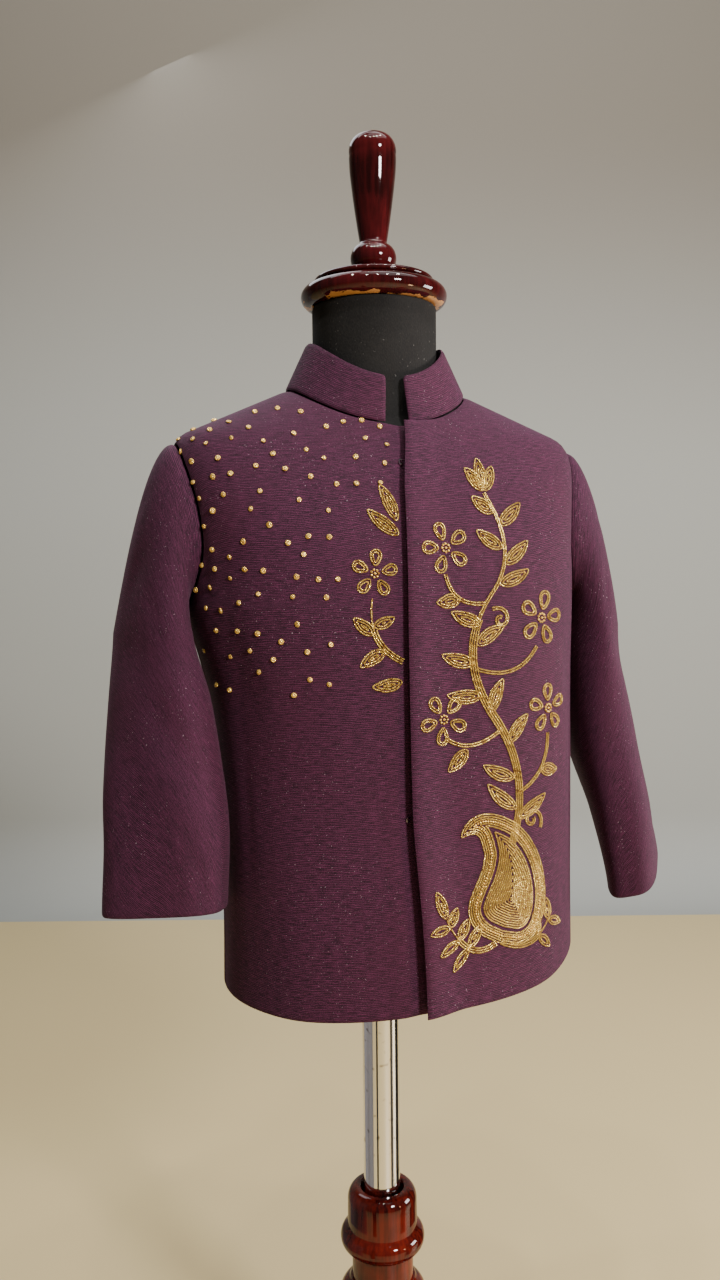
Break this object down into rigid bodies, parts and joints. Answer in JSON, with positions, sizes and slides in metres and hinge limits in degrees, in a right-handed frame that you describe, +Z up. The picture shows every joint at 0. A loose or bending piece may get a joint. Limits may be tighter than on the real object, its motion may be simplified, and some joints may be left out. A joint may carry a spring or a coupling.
{
  "type": "bandhgala jacket on a dress form",
  "caption": "Child's hip-length bandhgala jacket with a stand-up collar and lapped front, on a limbless dress form with a pole and a turned wooden base.",
  "frame": {"origin": "centre of the wooden foot's underside, on the floor under the pole", "axes": "+Z up along the pole, the jacket's front faces -Y, +X is the wearer's left"},
  "size_m": [0.3991, 0.29, 0.936],
  "materials": {
    "suiting": "matte deep plum suiting with a fine cross rib and gold hand embroidery",
    "form_cover": "matte black stretch cover",
    "turned_wood": "high gloss dark cherry lacquer with worn rims",
    "chrome_tube": "polished chrome plate"
  },
  "bodies": {
    "root": {"front_left": "suiting", "front_right": "suiting", "back": "suiting", "collar": "suiting", "sleeve_left": "suiting", "sleeve_right": "suiting", "form_body": "form_cover", "pole": "chrome_tube", "neck_cap": "turned_wood", "finial": "turned_wood", "base_hub": "turned_wood", "base_column": "turned_wood", "base_foot": "turned_wood"}
  },
  "joints": []
}
